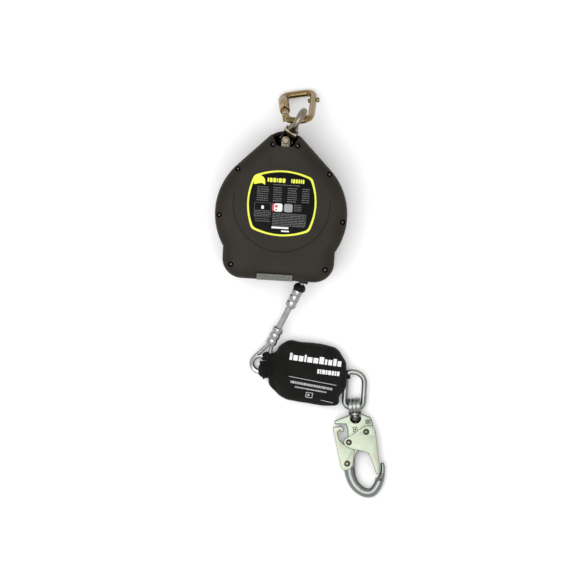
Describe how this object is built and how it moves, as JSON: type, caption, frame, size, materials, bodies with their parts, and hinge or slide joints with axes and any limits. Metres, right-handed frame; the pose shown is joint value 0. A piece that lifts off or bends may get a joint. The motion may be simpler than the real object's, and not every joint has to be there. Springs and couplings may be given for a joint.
{
  "type": "self-retracting lifeline",
  "caption": "Fall-arrest block: a drum of wire rope in a moulded housing, hung from a swivel eye and carabiner, with a shock pack and a double-locking snap hook on the line.",
  "frame": {"origin": "on the flat back of the housing, where the axis of the rope drum meets it", "axes": "+Z out of the back face, through the labelled front face; +Y towards the anchor; +X to the right of the label"},
  "size_m": [0.263, 0.5737, 0.1102],
  "materials": {
    "housing_nylon": "fine moulded texture",
    "black_rubber": "matt",
    "zinc_plate": "clear zinc plate",
    "yellow_zinc_plate": "pale yellow zinc plate",
    "gold_zinc_plate": "gold zinc plate",
    "bright_steel": "bright plated",
    "spring_steel": "oiled",
    "cast_aluminium": "as cast",
    "bushing_bronze": "sintered",
    "brake_lining": "moulded friction lining",
    "wire_rope": "galvanised strand",
    "clear_grey_sleeve": "heat-shrunk sleeve",
    "black_cloth": "woven polyester cover",
    "black_webbing": "woven webbing",
    "printed_label": "printed film",
    "grey_label": "printed film"
  },
  "bodies": {
    "housing": {"rear_cover": "housing_nylon", "front_cover": "housing_nylon", "cover_screw_1": "spring_steel", "cover_screw_2": "spring_steel", "cover_screw_3": "spring_steel", "cover_screw_4": "spring_steel", "cover_screw_5": "spring_steel", "cover_screw_6": "spring_steel", "cover_screw_7": "spring_steel", "cover_screw_8": "spring_steel", "front_label": "printed_label", "edge_label": "grey_label", "rear_frame_plate": "zinc_plate", "front_frame_plate": "zinc_plate", "frame_spacer_1": "bright_steel", "frame_spacer_2": "bright_steel", "anchor_bracket": "zinc_plate", "anchor_bolt": "bright_steel", "anchor_nut": "bright_steel", "main_shaft": "bright_steel", "rear_brake_pad": "brake_lining", "front_brake_pad": "brake_lining", "pressure_plate": "spring_steel", "spring_cup": "spring_steel", "mainspring": "spring_steel", "exit_guide": "black_rubber"},
    "ratchet": {"ratchet_ring": "spring_steel"},
    "drum_body": {"drum": "cast_aluminium", "drum_bushing": "bushing_bronze", "wound_rope": "wire_rope", "pawl_pin_1": "bright_steel", "pawl_pin_2": "bright_steel"},
    "pawl_body_1": {"pawl_1": "spring_steel"},
    "pawl_body_2": {"pawl_2": "spring_steel"},
    "anchor_block": {"trunnion_block": "zinc_plate"},
    "yoke_body": {"yoke": "zinc_plate"},
    "eye": {"swivel_eye": "zinc_plate"},
    "carabiner": {"carabiner_body": "gold_zinc_plate", "captive_pin": "gold_zinc_plate", "gate_pin": "bright_steel"},
    "krab_gate": {"carabiner_gate": "gold_zinc_plate"},
    "sleeve": {"lock_sleeve": "gold_zinc_plate"},
    "rope_run": {"lifeline_lead": "wire_rope"},
    "line_end": {"bumper": "black_rubber", "upper_ferrule": "bright_steel", "rope_sleeve": "clear_grey_sleeve", "lower_ferrule": "bright_steel", "lifeline_loop": "wire_rope", "thimble": "bright_steel"},
    "pack": {"inlet_web_loop": "black_webbing", "absorber_pack": "black_cloth", "outlet_web_loop": "black_webbing"},
    "link": {"link_ring": "bright_steel"},
    "bail": {"hook_swivel": "bright_steel"},
    "hook": {"hook_body": "yellow_zinc_plate", "gate_rivet": "spring_steel", "lever_rivet": "spring_steel"},
    "hook_gate_body": {"hook_gate": "yellow_zinc_plate", "catch_rivet": "spring_steel"},
    "lever": {"lock_lever": "yellow_zinc_plate"}
  },
  "joints": [
    {"name": "anchor_swing", "type": "hinge", "parent": "housing", "child": "anchor_block", "pos_m": [0, 0.0896, 0.054], "axis": [0, 0, 1], "range_deg": [-3, 61]},
    {"name": "yoke_tilt", "type": "hinge", "parent": "anchor_block", "child": "yoke_body", "pos_m": [0, 0.0896, 0.054], "axis": [-0.8746, 0.4848, 0], "range_deg": [-4, 45]},
    {"name": "eye_spin", "type": "hinge", "parent": "yoke_body", "child": "eye", "pos_m": [0, 0.0896, 0.054], "axis": [0.3282, 0.592, 0.7361], "range_deg": [-60, 60]},
    {"name": "carabiner_pitch", "type": "hinge", "parent": "eye", "child": "carabiner", "pos_m": [0.0171, 0.1185, 0.0931], "axis": [0.9816, 0.1908, 0], "range_deg": [-12, 27]},
    {"name": "krab_gate_hinge", "type": "hinge", "parent": "carabiner", "child": "krab_gate", "pos_m": [-0.00194, 0.12423, 0.0727], "axis": [0.1738, -0.894, -0.4131], "range_deg": [0, 18], "stiffness_Nm_per_rad": 0.15, "springref_deg": -20.05},
    {"name": "sleeve_twist", "type": "hinge", "parent": "krab_gate", "child": "sleeve", "pos_m": [-0.00194, 0.12423, 0.0727], "axis": [-0.0788, 0.4055, -0.9107], "range_deg": [0, 90], "stiffness_Nm_per_rad": 0.01, "springref_deg": -28.65},
    {"name": "payout", "type": "slide", "parent": "housing", "child": "rope_run", "axis": [-0.2207, -0.9753, 0], "range_m": [0, 0.0936], "stiffness_N_per_m": 60, "springref_m": -0.25},
    {"name": "drum_spin", "type": "hinge", "parent": "housing", "child": "drum_body", "pos_m": [0, 0, 0.054], "axis": [0, 0, -1], "range_deg": [0, 90.1]},
    {"name": "ratchet_slip", "type": "hinge", "parent": "housing", "child": "ratchet", "pos_m": [0, 0, 0.027], "axis": [0, 0, 1], "continuous": true},
    {"name": "pawl_1_swing", "type": "hinge", "parent": "drum_body", "child": "pawl_body_1", "pos_m": [-0.027, 0, 0.027], "axis": [0, 0, -1], "range_deg": [0, 12], "stiffness_Nm_per_rad": 0.02, "springref_deg": -11.46},
    {"name": "pawl_2_swing", "type": "hinge", "parent": "drum_body", "child": "pawl_body_2", "pos_m": [0.027, 0, 0.027], "axis": [0, 0, -1], "range_deg": [0, 12], "stiffness_Nm_per_rad": 0.02, "springref_deg": -11.46},
    {"name": "line_swing", "type": "hinge", "parent": "rope_run", "child": "line_end", "pos_m": [0.0365, -0.1087, 0.054], "axis": [0, 0, 1], "range_deg": [-10, 33]},
    {"name": "pack_swing", "type": "hinge", "parent": "line_end", "child": "pack", "pos_m": [-0.01706, -0.229, 0.00917], "axis": [-0.1311, -0.2944, 0.9466], "range_deg": [-30, 12]},
    {"name": "link_flip", "type": "hinge", "parent": "pack", "child": "link", "pos_m": [0.1063, -0.25, 0.0159], "axis": [0, 1, 0], "range_deg": [-50, 50]},
    {"name": "hook_tilt", "type": "hinge", "parent": "link", "child": "bail", "pos_m": [0.12074, -0.28133, 0.0123], "axis": [0.9874, 0.1582, 0], "range_deg": [-50, 50]},
    {"name": "hook_spin", "type": "hinge", "parent": "bail", "child": "hook", "pos_m": [0.1224, -0.2917, 0.0123], "axis": [0.1582, -0.9874, 0], "continuous": true},
    {"name": "hook_gate_hinge", "type": "hinge", "parent": "hook", "child": "hook_gate_body", "pos_m": [0.13974, -0.31647, 0.0123], "axis": [0, 0, -1], "range_deg": [0, 20], "stiffness_Nm_per_rad": 0.3, "springref_deg": -17.19},
    {"name": "lever_hinge", "type": "hinge", "parent": "hook", "child": "lever", "pos_m": [0.11555, -0.36339, 0.0123], "axis": [0, 0, -1], "range_deg": [0, 8], "stiffness_Nm_per_rad": 0.2, "springref_deg": -17.19}
  ],
  "couplings": [
    {"joint": "drum_spin", "follows": "payout", "rad_per_m": 16.781}
  ]
}
